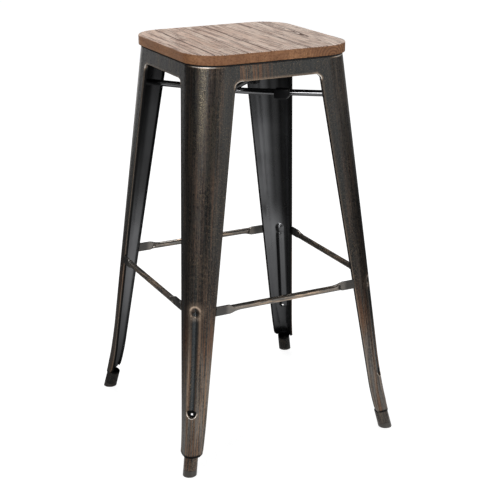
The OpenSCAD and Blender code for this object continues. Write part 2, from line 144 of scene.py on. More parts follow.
def face_at(z):
    """Distance of the leg's outer face from the middle: a straight lean, then a square-law flare."""
    low = np.clip((FLARE_START - z) / (FLARE_START - FLARE_END), 0, None)
    return FRAME_HALF_TOP + LEAN * (PAN_TOP - z) + FLARE * low ** 2


def edge_at(z):
    """X of the hemmed edge: the face less the width of the leg, which grows evenly with height."""
    return face_at(z) - (WIDTH_FLOOR + (WIDTH_TOP - WIDTH_FLOOR) * z / PAN_TOP)


def corner_radius(z):
    """Plan radius of the leg's corner: even change from the foot's ring to the middle and on to the top."""
    return np.interp(z, [*RADIUS_HEIGHTS, PAN_TOP], [FOOT_RING, RADIUS_MIDDLE, RADIUS_TOP])


FOOT_SPREAD = float(face_at(FLARE_END)) - FOOT_RING + FOOT_LEAN * FLARE_END
FILLET_START = APRON_LOW - FILLET_TALL
FILLET_WIDE = float(edge_at(FILLET_START)) - FILLET_MIDDLE
FILLET_END = math.acos((SEAM - FILLET_MIDDLE) / FILLET_WIDE)


# ---------------- meshes from grids
def build(name, points, faces, uv=None, slot="antique_steel", **values):
    """Mesh object from points (n, 3) in millimetres and faces, with an optional UV per point in millimetres.
    The values "rub", "warm", "gilt" and "inner" steer the paint: one for all points, or one each."""
    mesh = bpy.data.meshes.new(name)
    mesh.from_pydata((np.asarray(points) * MM).tolist(), [], [list(map(int, f)) for f in faces])
    mesh.polygons.foreach_set("use_smooth", np.ones(len(mesh.polygons), bool))
    if uv is not None:
        index = np.empty(len(mesh.loops), np.int32)
        mesh.loops.foreach_get("vertex_index", index)
        layer = mesh.uv_layers.new(name="sheet")
        layer.data.foreach_set("uv", (np.asarray(uv) * MM)[index].astype(np.float32).ravel())
    for label in ("rub", "warm", "gilt", "inner"):
        layer = mesh.attributes.new(label, "FLOAT", "POINT")
        value = np.broadcast_to(values.get(label, 0.0), len(points))
        layer.data.foreach_set("value", value.astype(np.float32))
    mesh.update()
    obj = bpy.data.objects.new(name, mesh)
    bpy.context.scene.collection.objects.link(obj)
    return obj


def grid_faces(rows, cols, wrap=False):
    """Quads of a grid whose points run along rows; wrap joins the last column to the first."""
    r = np.arange(rows - 1)[:, None]
    c = np.arange(cols if wrap else cols - 1)[None, :]
    n = (c + 1) % cols
    return np.stack([r * cols + c, r * cols + n, (r + 1) * cols + n, (r + 1) * cols + c], -1).reshape(-1, 4)


def tube_faces(rows, cols, flip=False):
    """Faces of a tube of rings, closed at each end by one face; flip turns them all over."""
    faces = grid_faces(rows, cols, wrap=True).tolist()
    faces += [list(range(cols))[::-1], [(rows - 1) * cols + c for c in range(cols)]]
    return [f[::-1] for f in faces] if flip else faces


def stacked(*parts):
    """Grids of one value each, as a list of points."""
    return np.stack(parts, -1).reshape(-1, len(parts))


def spun(points, degrees):
    """Points turned about the upright axis."""
    a = math.radians(degrees)
    return points @ np.array([[math.cos(a), math.sin(a), 0], [-math.sin(a), math.cos(a), 0], [0, 0, 1.0]])


def finish_piece(obj, materials, *nodes):
    """Gives the piece its materials, lets it ride on the frame and stand for its CAD node."""
    for m in materials:
        obj.data.materials.append(m)
    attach(obj, "root")
    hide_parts(*nodes)


def soften(obj, width, segments, sharper):
    """Rounds the edges that turn by more than the given degrees."""
    soft = obj.modifiers.new("soft_edges", "BEVEL")
    soft.width = width * MM
    soft.segments = segments
    soft.limit_method = "ANGLE"
    soft.angle_limit = math.radians(sharper)
    soft.harden_normals = True


def thicken(obj):
    """Turns a skin into sheet steel behind it, with the second material inside and softened edges."""
    solid = obj.modifiers.new("sheet", "SOLIDIFY")
    solid.thickness = SHEET * MM
    solid.offset = -1
    solid.use_even_offset = True
    solid.material_offset = 1
    soften(obj, width=0.3, segments=2, sharper=40)


BUMPERS = {"front_left": (-1, 225), "front_right": (1, -45), "rear_left": (1, 135), "rear_right": (-1, 45)}
CORNERS = {"front_left": (-1, -1), "front_right": (1, -1), "rear_left": (-1, 1), "rear_right": (1, 1)}
SIDES = {"rear": 0, "left": 1, "front": 2, "right": 3}


# ---------------- legs
# rows of the leg as (from, to, number), dense at the dimple and at the groove's lower end
ROW_SPANS = ((LEG_LOW, 60, 10), (60, 104, 14), (104, 124, 41), (124, 290, 42), (290, 322, 41),
             (322, FILLET_START, 80))


def soft_v(reach, floor_radius, shoulder):
    """V-shaped depth from 1 at the middle to 0 past reach 1: 1.05 - sqrt(reach^2 + floor_radius^2), held
    above 0 by the smooth maximum (v + sqrt(v^2 + shoulder^2)) / 2."""
    v = 1.05 - np.sqrt(reach ** 2 + floor_radius ** 2)
    return (v + np.sqrt(v ** 2 + shoulder ** 2)) / 2


def groove_depth(d, z):
    """Depth of the pressed groove at distance d from the corner's middle, at height z.

    Across, the groove is a soft V. Its lower end stops at a steep U-shaped wall. Its upper end is a round
    cone-shaped dimple, parted from the groove by a low saddle."""
    groove = GROOVE_DEPTH * soft_v(d / GROOVE_HALF, floor_radius=0.10, shoulder=0.14)
    groove = groove * (1 - step((pocket_distance(d, z) - POCKET_RADIUS + 0.8) / 1.6))
    saddle = 1 - 0.4 * bell((z - DIMPLE_HEIGHT + 10.5) / 3.5)
    groove = groove * saddle * step((DIMPLE_HEIGHT - z) / 4.0)
    out = np.hypot(d, z - DIMPLE_HEIGHT) / DIMPLE_RADIUS
    dimple = DIMPLE_DEPTH * soft_v(out, floor_radius=0.22, shoulder=0.10)
    fade = step((44 - np.abs(d)) / 20)
    return np.maximum(groove, dimple * step((2.0 - out) / 0.6)) * fade


def pocket_distance(d, z):
    """Distance from the middle of the groove's lower end: below it, |d| counts more the lower z is."""
    below = np.clip(POCKET_HEIGHT - z, 0, None)
    return np.hypot(d * step(below / 7.0), below)


def leg_wear_and_painted_light(d, z):
    """Wear along the leg's corner, with painted light and shade: a soft copper band on the groove's
    shoulders, partly wear and partly a painted highlight on the crests; a brighter ring round its dimple,
    stronger on its upper half as a painted highlight; a bright lip round its lower end, a painted highlight.
    Minus one marks
    painted shade: the black wall inside that lip, and a dark band at the leg's lower end."""
    shoulder = bell((np.abs(d) - GROOVE_HALF - 1.4) / 2.4)
    shoulder = shoulder * (0.6 + 0.4 * np.cos((z - 250) / 45 - np.sign(d) * 1.3))
    along = step((DIMPLE_HEIGHT - z) / 10) * step((z - POCKET_HEIGHT) / 14)
    from_dimple = np.hypot(d, z - DIMPLE_HEIGHT) - DIMPLE_RADIUS
    # the ring is stronger on its upper half: a painted highlight there
    ring = bell((from_dimple - 0.6) / 2.0) * (0.45 + 0.75 * step((z - DIMPLE_HEIGHT + 3) / 10))
    ring = ring + 0.22 * bell((from_dimple - 5.0) / 4.0)
    from_pocket = np.hypot(d, z - POCKET_HEIGHT) - POCKET_RADIUS
    # bright lip round the groove's lower end: a painted highlight
    lip = bell((from_pocket - 1.0) / 0.75) * step((POCKET_HEIGHT + 1 - z) / 3)
    # painted shade: the black wall inside the lip
    painted_shade = step((0.2 - from_pocket) / 1.2) * step((POCKET_HEIGHT + 4.5 - z) / 2)
    # painted shadow: a dark band at the leg's lower end, above the foot tube
    foot = 0.85 * step((LEG_LOW + 5.5 - z) / 3.0)
    return np.clip(0.42 * shoulder * along + ring, 0, 1) + 1.7 * lip - painted_shade - foot


def fillet_point(angle, reach):
    """X and height on the fillet between leg and apron: an ellipse, plus reach in a direction that turns
    evenly from level at the leg to upright at the seam."""
    out = angle / FILLET_END * math.pi / 2
    x = FILLET_MIDDLE + FILLET_WIDE * np.cos(angle) + reach * np.cos(out)
    return x, FILLET_START + FILLET_TALL * np.sin(angle) + reach * np.sin(out)


def leg_columns(z):
    """One half of the leg's section at heights z (rows): hem tip, hem bend, flat face and half the corner.

    Returns x, y, the distance from the corner's middle along the sheet, and the rise of the cut at the
    foot, each as rows by columns."""
    z = z[:, None]
    turns = np.linspace(0, FILLET_END, 60)
    angle = np.interp(z, fillet_point(turns, HEM_BEND)[1], turns)
    straight = z <= FILLET_START
    radius = corner_radius(z)
    face = face_at(z)
    centre = face - radius
    quarter = radius * math.pi / 4

    hem = np.linspace(0, 1, 4)[None, :-1]
    bend = np.radians(np.linspace(0, 90, 7))[None, :]
    reach = np.concatenate([np.zeros((1, 3)), HEM_BEND * (1 - np.cos(bend))], 1)
    depth = np.concatenate([HEM - (HEM - HEM_BEND) * hem, HEM_BEND * (1 - np.sin(bend))], 1)
    x_curl, z_curl = fillet_point(angle, reach)
    x_edge = np.where(straight, edge_at(z) + reach, x_curl)
    z_edge = np.where(straight, z, z_curl)
    y_edge = face_at(z_edge) - depth

    part = np.linspace(0, 1, FACE_COLUMNS)[None, 1:]
    x_end = x_edge[:, -1:]
    x_face = x_end + (centre - x_end) * part
    y_face = np.broadcast_to(face, x_face.shape)

    crest = np.minimum(CREST, CREST_SHARE * quarter)
    outer = quarter + (crest - quarter) * np.linspace(0, 1, 8)[None, 1:]
    inner = crest * np.linspace(1, 0, 22)[None, 1:]
    d = np.concatenate([outer, inner], 1)
    turn = math.pi / 4 + d / radius
    drop = groove_depth(d, np.broadcast_to(z, d.shape))
    x_corner = centre + (radius - drop) * np.cos(turn)
    y_corner = centre + (radius - drop) * np.sin(turn)

    x = np.concatenate([x_edge, x_face, x_corner], 1)
    y = np.concatenate([y_edge, y_face, y_corner], 1)
    h = np.concatenate([z_edge, np.repeat(z_edge[:, -1:], x.shape[1] - z_edge.shape[1], 1)], 1)
    past_bend = np.concatenate([(HEM_BEND - HEM) * (1 - hem), HEM_BEND * bend], 1)
    along_edge = quarter + (centre - x_end) + HEM_BEND * bend[:, -1:] - past_bend
    s = np.concatenate([np.broadcast_to(along_edge, x_edge.shape), quarter + (centre - x_face), d], 1)
    from_edge = np.clip((x - x_edge[:, :1]) / CUT_WIDE, 0, 1)
    cut = CUT_RISE * (1 - from_edge) * step((FLARE_END + CUT_TALL - z) / CUT_TALL)
    cut[:, -d.shape[1]:] = 0
    return x, y, h + cut, s


def both_halves(first, second):
    """Rows of the whole section from one half and its mirror in the diagonal; they share the middle."""
    return np.concatenate([first, second[:, -2::-1]], 1)


def leg_points():
    """Outer skin of the +X +Y leg: rows from the foot to the fillet's end, then rows up to the rim that
    leave out the hem. Returns points, faces, UV (distance along the sheet, height) and the paint values:
    worn marks together with painted highlights and painted shade."""
    z = np.concatenate([np.linspace(*span)[:-1] for span in ROW_SPANS]
                       + [fillet_point(np.linspace(0, FILLET_END, 17), HEM_BEND)[1]])
    x, y, h, s = leg_columns(z)
    S, H = both_halves(s, -s), both_halves(h, h)
    rows, cols = S.shape
    lower = stacked(both_halves(x, y), both_halves(y, x), H)
    wear_and_painted_light = leg_wear_and_painted_light(np.clip(S, -60, 60), H)
    edge = np.minimum(np.arange(cols), np.arange(cols)[::-1])[None, :]
    # bright metal along the hem's bend at the fillet, a painted highlight; faint copper wear lower down
    bare_and_highlight = 0.26 + 1.9 * step((z[:, None] - FILLET_START + 1.5) / 3.0)
    # painted shade: the hem tips darkened below the fillet
    tip = 0.85 * step((4.0 - edge) / 2.0) * step((FILLET_START - z[:, None]) / 6.0)
    wear_and_painted_light = wear_and_painted_light + bare_and_highlight * bell((edge - 6.0) / 3.0) - tip

    # above the fillet the edge is the upright seam
    zt = np.concatenate([np.linspace(z[-1], RIM - 3, 7)[1:], [RIM - 2, RIM - 1, RIM]])
    xt, yt, _, st = (part[:, HEM_COLUMNS:] for part in leg_columns(zt))
    zt = zt[:, None]
    face, radius = face_at(zt), corner_radius(zt)
    centre = face - radius
    xt[:, :FACE_COLUMNS] = SEAM + (centre - SEAM) * np.linspace(0, 1, FACE_COLUMNS)[None, :]
    yt[:, :FACE_COLUMNS] = face
    st[:, :FACE_COLUMNS] = radius * math.pi / 4 + (centre - xt[:, :FACE_COLUMNS])
    ST = both_halves(st, -st)
    HT = np.broadcast_to(zt, ST.shape)
    upper = stacked(both_halves(xt, yt), both_halves(yt, xt), HT)
    # bright line on the rim's top edge: partly wear, partly a painted highlight
    rim_wear_and_highlight = 1.7 * step((HT - RIM + 2.4) / 1.6) * np.exp(-(ST / 30) ** 4)

    joint = (rows - 1) * cols + np.arange(HEM_COLUMNS, cols - HEM_COLUMNS)
    index = np.concatenate([joint[None, :], rows * cols + np.arange(len(upper)).reshape(ST.shape)])
    up = np.stack([index[:-1, :-1], index[:-1, 1:], index[1:, 1:], index[1:, :-1]], -1).reshape(-1, 4)
    return (np.concatenate([lower, upper]), np.concatenate([grid_faces(rows, cols), up]),
            np.concatenate([stacked(S, H), stacked(ST, HT)]),
            np.concatenate([wear_and_painted_light.reshape(-1), rim_wear_and_highlight.reshape(-1)]))


def drain_faces(points, faces):
    """Keeps the faces that lie outside the round drain hole in the groove's lower end."""
    middle = points[faces].mean(1)
    across = (middle[:, 0] - middle[:, 1]) / math.sqrt(2)
    return faces[np.hypot(across, middle[:, 2] - DRAIN_HEIGHT) >= DRAIN_RADIUS]


# painted shade inside the leg, darkening its inner paint towards black: the least share of the paint kept,
# what is added lower down, and the height and depth of the change; the rear left leg is shaded darker
INNER_PAINTED_SHADE = {"rear_left": (0.24, 0.58, 465, 120), "others": (0.42, 0.56, 720, 230)}


def make_legs(materials):
    """The four legs: one skin mirrored to the corners. Low down its copper is warmer and paler, the paleness
    partly a painted reflection of the floor, and its groove cool. At the top its middle has gold flecks laid
    where the highlight falls, a painted glint, and its wings are plain. Inside, painted shade darkens the
    paint upwards and by the corner above the dimple, more so in the rear left leg."""
    points, faces, uv, wear_and_painted_light = leg_points()
    faces = drain_faces(points, faces)
    d, z = uv.T
    across = np.abs(d)
    in_groove = np.exp(-(d / 6.5) ** 4) * step((DIMPLE_HEIGHT - z) / 6) * step((z - POCKET_HEIGHT + 4) / 6)
    # warmer low down; above 0.6 the streaks turn paler, partly a painted reflection of the near floor
    warm = 0.10 + 1.5 * step((340 - z) / 200) * (1 - 0.35 * step((100 - z) / 50))
    warm = warm * (1 - in_groove) - 0.5 * in_groove
    # gold flecks along the corner's middle at the top, where the highlight falls: a painted glint
    gilt = bell(d / 7.5) * step((z - 540) / 170)
    gilt = gilt + 0.4 * bell((across - 21) / 7.0) * step((z - 500) / 80) * step((715 - z) / 60)
    gilt = gilt - step((across - 30) / 14.0) * step((z - 240) / 160)
    # painted shade inside: darker by the corner above the dimple and towards the top
    crease = 1 - 0.7 * step((30 - across) / 22) * step((z - DIMPLE_HEIGHT) / 70)
    for name, (sx, sy) in CORNERS.items():
        least, more, top, fade = INNER_PAINTED_SHADE.get(name, INNER_PAINTED_SHADE["others"])
        inner = crease * (least + more * step((top - z) / fade))
        own = uv + np.array([[700.0 * (1 + sx), 900.0 * (1 + sy)]])
        turned = faces if sx * sy < 0 else faces[:, ::-1]
        leg = build("steel_leg_" + name, points * np.array([sx, sy, 1.0]), turned, own,
                    rub=wear_and_painted_light, warm=warm, gilt=gilt, inner=inner)
        finish_piece(leg, materials, "leg_" + name)
        thicken(leg)


# ---------------- aprons
def apron_points():
    """Apron on the +Y side: lip, bend and leaning panel as a profile carried along X between the seams. Near
    the seams its low edge drops along the fillet's ellipse: height - tall * (1 - sqrt(1 - u^2)).

    Returns points, faces, UV and the paint values, with painted light on the lip. The panel's left half is
    plain, its right half warm."""
    bend = np.radians(np.linspace(0, 90, 8))
    panel = np.linspace(APRON_LOW + HEM_BEND, RIM, 9)[1:]
    low = float(face_at(APRON_LOW))
    z = np.concatenate([[APRON_LOW, APRON_LOW], APRON_LOW + HEM_BEND * (1 - np.cos(bend)), panel])
    y = np.concatenate([[low - HEM, low - HEM * 0.6], low + HEM_BEND * (np.sin(bend) - 1), face_at(panel)])
    y[2:10] += face_at(z[2:10]) - low
    x = np.linspace(-SEAM, SEAM, 62)
    bow = np.clip((np.abs(x) - FILLET_MIDDLE) / FILLET_WIDE, 0, 1)
    drop = FILLET_TALL * (1 - np.sqrt(1 - bow ** 2))
    share = np.clip((RIM - z) / (RIM - APRON_LOW - HEM_BEND), 0, 1)
    Z = z[:, None] - share[:, None] * drop[None, :]
    Y = y[:, None] + face_at(Z) - face_at(z)[:, None]
    X = np.broadcast_to(x[None, :], Z.shape)
    # the lip's bright line, brightest at the fillets: a painted reflection of the floor and painted highlight
    rub = 0.95 + 1.0 * step((np.abs(X) - FILLET_MIDDLE + 6) / 8)
    values = {"rub": rub * bell((Z + drop - APRON_LOW - 0.5) / 1.2),
              "warm": step((X + 2) / 30) * (0.65 + 0.15 * np.cos(X / 9)),
              "gilt": -0.8 * step((40 - X) / 30)}
    faces = grid_faces(len(y), len(x))[:, ::-1]
    return stacked(X, Y, Z), faces, stacked(X + 400, Z), {k: v.reshape(-1) for k, v in values.items()}


def make_aprons(materials):
    """Four aprons from one; those of the sides have no warm or plain half."""
    points, faces, uv, values = apron_points()
    for side, turns in SIDES.items():
        own = uv + np.array([[500.0 * turns, 0]])
        shown = 1 - turns % 2
        # inner 0.4: painted shade darkens the aprons' inner paint
        apron = build("apron_panel_" + side, spun(points, 90 * turns), faces, own, rub=values["rub"],
                      warm=values["warm"] * shown, gilt=values["gilt"] * shown, inner=0.4)
        finish_piece(apron, materials, "apron_" + side)
        thicken(apron)


# ---------------- board and pan
def rounded_square(half, radius, steps):
    """Outline of a square with round corners, as the centre of each point's corner and a unit direction: an
    outline inset by i is centre + (radius - i) * direction. The straight sides get twelve stations each."""
    angles = np.radians(np.linspace(0, 90, steps + 1))
    along = np.linspace(0, 1, 14)[1:-1, None]
    centres, directions = [], []
    for turn in np.arange(4) * math.pi / 2:
        here, there = ((half - radius) * np.sign([math.cos(turn + a), math.sin(turn + a)])
                       for a in (math.pi / 4, 3 * math.pi / 4))
        arc = np.stack([np.cos(angles + turn), np.sin(angles + turn)], -1)
        centres += [np.broadcast_to(here, arc.shape), here * (1 - along) + there * along]
        directions += [arc, np.broadcast_to(arc[-1], (len(along), 2))]
    return np.concatenate(centres), np.concatenate(directions)


def slab_rings(half, radius, profile, steps):
    """Carries a profile of (inset, height) round the outline; large insets shrink it evenly to the middle."""
    centres, directions = rounded_square(half, radius, steps)
    limit = radius * 0.6
    edge = centres + (radius - limit) * directions
    rings = []
    for inset, z in profile:
        if inset <= limit:
            xy = centres + (radius - inset) * directions
        else:
            xy = edge * (half - inset) / (half - limit)
        rings.append(np.concatenate([xy, np.full((len(xy), 1), z)], 1))
    return np.stack(rings)


def closed_slab(name, half, radius, profile, slot, steps):
    """Closed body from a profile that starts and ends near the middle, where a fan of faces fills it."""
    rings = slab_rings(half, radius, profile, steps)
    rows, cols = rings.shape[:2]
    first, last = rows * cols, (rows - 1) * cols
    c = np.arange(cols)
    n = (c + 1) % cols
    fans = np.stack([np.full(cols, first), n, c, np.full(cols, first + 1), last + c, last + n], -1)
    faces = grid_faces(rows, cols, wrap=True).tolist() + fans.reshape(-1, 3).tolist()
    ends = np.array([[0, 0, profile[0][1]], [0, 0, profile[-1][1]]], float)
    return build(name, np.concatenate([rings.reshape(-1, 3), ends]), faces, slot=slot)


def make_board(material):
    """Wooden board: flat top and underside, rounded arrises and straight sides."""
    arc = np.radians(np.linspace(0, 90, 6))
    e, under = BOARD_EDGE, BOARD_UNDER_EDGE
    profile = [(BOARD_HALF * k, SEAT_TOP) for k in (0.985, 0.85, 0.7, 0.55, 0.4, 0.28, 0.18, 0.1, 0.05)]
    profile += [(4.0, SEAT_TOP)] + [(e * (1 - math.sin(a)), SEAT_TOP - e * (1 - math.cos(a))) for a in arc]
    profile += [(0.0, PAN_TOP + (SEAT_TOP - PAN_TOP) * k) for k in (0.8, 0.6, 0.4, 0.2)]
    profile += [(under * (1 - math.cos(a)), PAN_TOP + under * (1 - math.sin(a))) for a in arc]
    profile += [(4.0, PAN_TOP), (40.0, PAN_TOP), (100.0, PAN_TOP), (BOARD_HALF * 0.985, PAN_TOP)]
    board = closed_slab("wooden_board", BOARD_HALF, BOARD_CORNER, profile, "oak_board", steps=24)
    finish_piece(board, [material], "seat_board")


def make_pan(material):
    """Seat pan: one shell whose outer skin runs from the middle over the rounded rim down the skirt, and
    whose inner skin runs back at the sheet's thickness."""
    half = float(face_at(RIM)) - SHEET - GAP
    radius = float(corner_radius(RIM)) - SHEET - GAP
    arc = np.radians(np.linspace(0, 90, 9))
    r, t, shares = PAN_EDGE, PAN_SHEET, (0.985, 0.7, 0.45, 0.25, 0.12)
    band, low = PAN_TOP - PAN_BAND, PAN_TOP - PAN_SKIRT
    outer = [(half * k, PAN_TOP) for k in shares] + [(PAN_BAND, PAN_TOP)]
    outer += [(r * (1 - math.sin(a)), PAN_TOP - r * (1 - math.cos(a))) for a in arc]
    outer += [(0.0, band), (0.0, low)]
    inner = [(t, low), (t, band)]
    inner += [(t + (r - t) * (1 - math.cos(a)), PAN_TOP - t - (r - t) * (1 - math.sin(a))) for a in arc]
    inner += [(PAN_BAND, PAN_TOP - t)] + [(half * k, PAN_TOP - t) for k in shares[::-1]]
    pan = closed_slab("seat_frame_pan", half, radius, outer + inner, "black_steel", steps=16)
    finish_piece(pan, [material], "seat_pan")


# ---------------- footrests
def bar_section(ends, angle, up):
    """Half thickness and height of the footrest bar's section at distance ends from its leg.

    m runs from 0, flattened, to 1, round; it changes at a slanted crease, early and sharply on the up
    side and late and gently on the other. The section is a superellipse whose power goes from 7 to 2."""
    v = np.sin(angle) * up
    late = 5.0 * (1 - v)
    m = step((ends - TAB_LENGTH + 2.0 - late) / (3.0 + late))
    power = 7.0 - 5.0 * m
    wide = step((ends - TAB_LENGTH + 3.0) / np.where(v > 0, 6.0, 20.0))
    thick = TAB_HALF_THICK + (BAR_RADIUS - TAB_HALF_THICK) * m
    tall = TAB_HEIGHT / 2 + (BAR_RADIUS - TAB_HEIGHT / 2) * wide
    c, s = np.cos(angle), np.sin(angle)
    y = thick * np.sign(c) * np.abs(c) ** (2 / power)
    z = tall * np.sign(s) * np.abs(s) ** (2 / power) - up * TAB_SHIFT * (1 - wide)
    return y, z


def footrest_points():
    """Footrest on the +Y side: a section that goes from flat tab to round bar, carried along X. The tab
    ends follow the slope of the leg's hem. Returns points, faces and UV (round the bar, along it)."""
    angle = np.radians(np.linspace(0, 360, 49)[:-1])[None, :]
    near = np.concatenate([[0.0], np.linspace(0.4, TAB_END, 8), np.linspace(TAB_END + 1, TAB_ROWS_END, 44)])
    near = near[:, None]
    reach = float(edge_at(BAR_HEIGHT))
    slope = (float(edge_at(BAR_HEIGHT + 5)) - float(edge_at(BAR_HEIGHT - 5))) / 10

    def tab(ends, up):
        y, z = bar_section(ends, angle, up)
        return up * (reach - ends + slope * z * (1 - step(ends / TAB_LEAN))), y, z

    middle = np.linspace(reach - TAB_ROWS_END, TAB_ROWS_END - reach, 12)[1:-1, None]
    y, z = bar_section(np.full_like(middle, 90.0), angle, 1)
    parts = [tab(near, 1), (np.broadcast_to(middle, y.shape), y, z), tab(near[::-1], -1)]
    X, Y, Z = (np.concatenate(part) for part in zip(*parts))
    points = stacked(X, Y + float(face_at(BAR_HEIGHT)) - BAR_SINK, Z + BAR_HEIGHT)
    uv = stacked(np.broadcast_to(np.degrees(angle) * 0.1, X.shape), X)
    return points, tube_faces(*X.shape, flip=True), uv


def make_footrests(material):
    """Four footrest bars from one."""
    points, faces, uv = footrest_points()
    for side, turns in SIDES.items():
        bar = build("footrest_bar_" + side, spun(points, 90 * turns), faces, uv, slot="black_steel")
        finish_piece(bar, [material], "footrest_" + side)


# ---------------- braces and bumpers
def tube_along(path, radius):
    """Circle of the given radius carried along a path in the XZ plane, square to its direction."""
    direction = np.gradient(path, axis=0)
    direction /= np.linalg.norm(direction, axis=1)[:, None]
    normal = np.stack([-direction[:, 2], np.zeros(len(path)), direction[:, 0]], -1)
    angle = np.radians(np.linspace(0, 360, 33)[:-1])[None, :, None]
    ring = np.cos(angle) * np.array([0.0, 1.0, 0.0]) + np.sin(angle) * normal[:, None, :]
    return path[:, None, :] + radius * ring


def make_brace(name, node, bend, degrees, material):
    """Brace tube: level at the crossing, sloping to its ends, with the corner between eased by a smooth
    absolute value."""
    def eased(outward):
        return (outward + np.hypot(outward, BRACE_EASE)) / 2

    slopes = np.linspace(BRACE_CENTRE, BRACE_END, 20)[1:]
    x = np.concatenate([-slopes[::-1], np.linspace(-BRACE_CENTRE, BRACE_CENTRE, 61), slopes])
    ramp = eased(np.abs(x) - BRACE_LEVEL) / eased(BRACE_END - BRACE_LEVEL)
    rings = tube_along(stacked(x, 0 * x, BRACE_HEIGHT - bend * BRACE_CLEAR * (1 - ramp)), BRACE_RADIUS)
    brace = build(name, spun(rings.reshape(-1, 3), degrees), tube_faces(*rings.shape[:2], flip=True),
                  slot="black_steel")
    finish_piece(brace, [material], node)


def make_bumper(name, node, bend, degrees, material):
    """Moulded bumper under a brace: a C-shaped section, open at the top, carried along the arm. Its
    underside rises in a bevel towards each end by the distance past the bevel's start."""
    half, wide, e = BUMPER_LENGTH / 2, BUMPER_WIDTH / 2, BUMPER_EDGE
    mouth = math.asin(BUMPER_SLOT / 2 / BRACE_CLEAR)
    bore = np.linspace(math.pi / 2 - mouth, mouth - 1.5 * math.pi, 33)
    arc = np.radians(np.linspace(0, 90, 5))
    side = np.concatenate([e - wide - e * np.sin(arc), e - wide - e * np.cos(arc)])
    rise = np.concatenate([BUMPER_TOP - e + e * np.cos(arc), BUMPER_LOW + e - e * np.sin(arc)])
    y = np.concatenate([BRACE_CLEAR * np.cos(bore), [-BUMPER_SLOT / 2], side, -side[::-1], [BUMPER_SLOT / 2]])
    z = np.concatenate([BRACE_CLEAR * np.sin(bore), [BUMPER_TOP], rise, rise[::-1], [BUMPER_TOP]])
    x = np.array([-half, BUMPER_INNER_BEVEL - half, 5 - half, 0, half - BUMPER_BEVEL - 2, half - BUMPER_BEVEL,
                  half - BUMPER_BEVEL / 2, half])[:, None]
    floor = BUMPER_LOW + np.clip(x - half + BUMPER_BEVEL, 0, None)
    floor = floor + np.clip(BUMPER_INNER_BEVEL - half - x, 0, None)
    squeeze = np.clip((BUMPER_LOW + BUMPER_FLOOR - floor) / BUMPER_FLOOR, 0.2, 1)
    Z = np.where(z < -BRACE_CLEAR, floor + (z - BUMPER_LOW) * squeeze, z)
    X, Y = np.broadcast_to(x, Z.shape), np.broadcast_to(y, Z.shape)
    slope = math.atan(BRACE_CLEAR / (BRACE_END - BRACE_LEVEL)) * bend
    height = BRACE_HEIGHT + (BUMPER_PLACE - BRACE_LEVEL) * math.tan(slope) - bend * BRACE_CLEAR
    c, s = math.cos(slope), math.sin(slope)
    points = stacked(BUMPER_PLACE + c * X - s * Z, Y, height + s * X + c * Z)
    bumper = build(name, spun(points, degrees), tube_faces(*Z.shape), slot="black_plastic")
    bumper.data.polygons.foreach_set("use_smooth", np.zeros(len(bumper.data.polygons), bool))
    soften(bumper, width=0.6, segments=2, sharper=35)
    finish_piece(bumper, [material], node)


def softened_copy(node, name, material, width):
    """Copy of a moulded CAD piece with its edges rounded."""
    obj = bpy.data.objects.new(name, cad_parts[node].data.copy())
    bpy.context.scene.collection.objects.link(obj)
    obj.data.materials.clear()
    if "custom_normal" in obj.data.attributes:
        obj.data.attributes.remove(obj.data.attributes["custom_normal"])
    obj.modifiers.new("merge", "WELD").merge_threshold = 0.00001
    soften(obj, width, segments=3, sharper=30)
    obj.data.polygons.foreach_set("use_smooth", np.ones(len(obj.data.polygons), bool))
    finish_piece(obj, [material], node)


# ---------------- feet
def foot_frame(x_side, y_side):
    """Matrix of the leaning foot axis: third row is the axis, first two are square to it."""
    axis = np.array([-FOOT_LEAN * x_side, -FOOT_LEAN * y_side, 1.0])
    axis /= np.linalg.norm(axis)
    side = np.cross([0, 0, 1.0], axis)
    side /= np.linalg.norm(side)
    return np.stack([side, np.cross(axis, side), axis])


def revolve(profile, turns):
    """Closed ring from a closed profile of (radius, height)."""
    angle = np.radians(np.linspace(0, 360, turns + 1)[:-1])
    r, h = np.asarray(profile).T[:, :, None]
    points = stacked(r * np.cos(angle), r * np.sin(angle), np.broadcast_to(h, (len(r), turns)))
    return points, grid_faces(len(r) + 1, turns, wrap=True) % len(points)


def make_feet(steel, rubber):
    """Foot tubes with eased rims, and glides with a rounded sole edge. The rear tubes are darker plain paint,
    painted shade, and each tube's top is darkened, a painted shadow under the leg.
    """
    tilt = math.atan(FOOT_LEAN * math.sqrt(2))
    low, top = SOLE + FOOT_RADIUS * math.sin(tilt), FOOT_TOP / math.cos(tilt)
    e, hole = FOOT_EASE, FOOT_RADIUS - FOOT_WALL
    profile = [(hole + e, low), (FOOT_RADIUS - e, low)]
    profile += [(FOOT_RADIUS, h) for h in (low + e, low + 8, top - 8, top - 5, top - 2, top - e)]
    profile += [(FOOT_RADIUS - e, top), (hole + e, top), (hole, top - e), (hole, low + e)]
    points, faces = revolve(profile, turns=64)
    uv = np.stack([np.arctan2(points[:, 1], points[:, 0]) * FOOT_RADIUS + 900, points[:, 2]], -1)
    # painted shadow: a dark ring at the tube's top, under the leg's end
    painted_shade = -step((points[:, 2] - top + 5.0) / 3.0)
    for name, (sx, sy) in CORNERS.items():
        place = points @ foot_frame(sx, sy) + FOOT_SPREAD * np.array([sx, sy, 0])
        # the rear tubes get plain dark paint: painted shade
        tube = build("foot_sleeve_" + name, place, faces, uv, rub=painted_shade, warm=0.5 if sx + sy < 0 else 0.1,
                     gilt=-1.0 if sy > 0 else 0.0)
        finish_piece(tube, [steel], "foot_tube_" + name)
        softened_copy("glide_" + name, "foot_glide_" + name, rubber, 0.6)


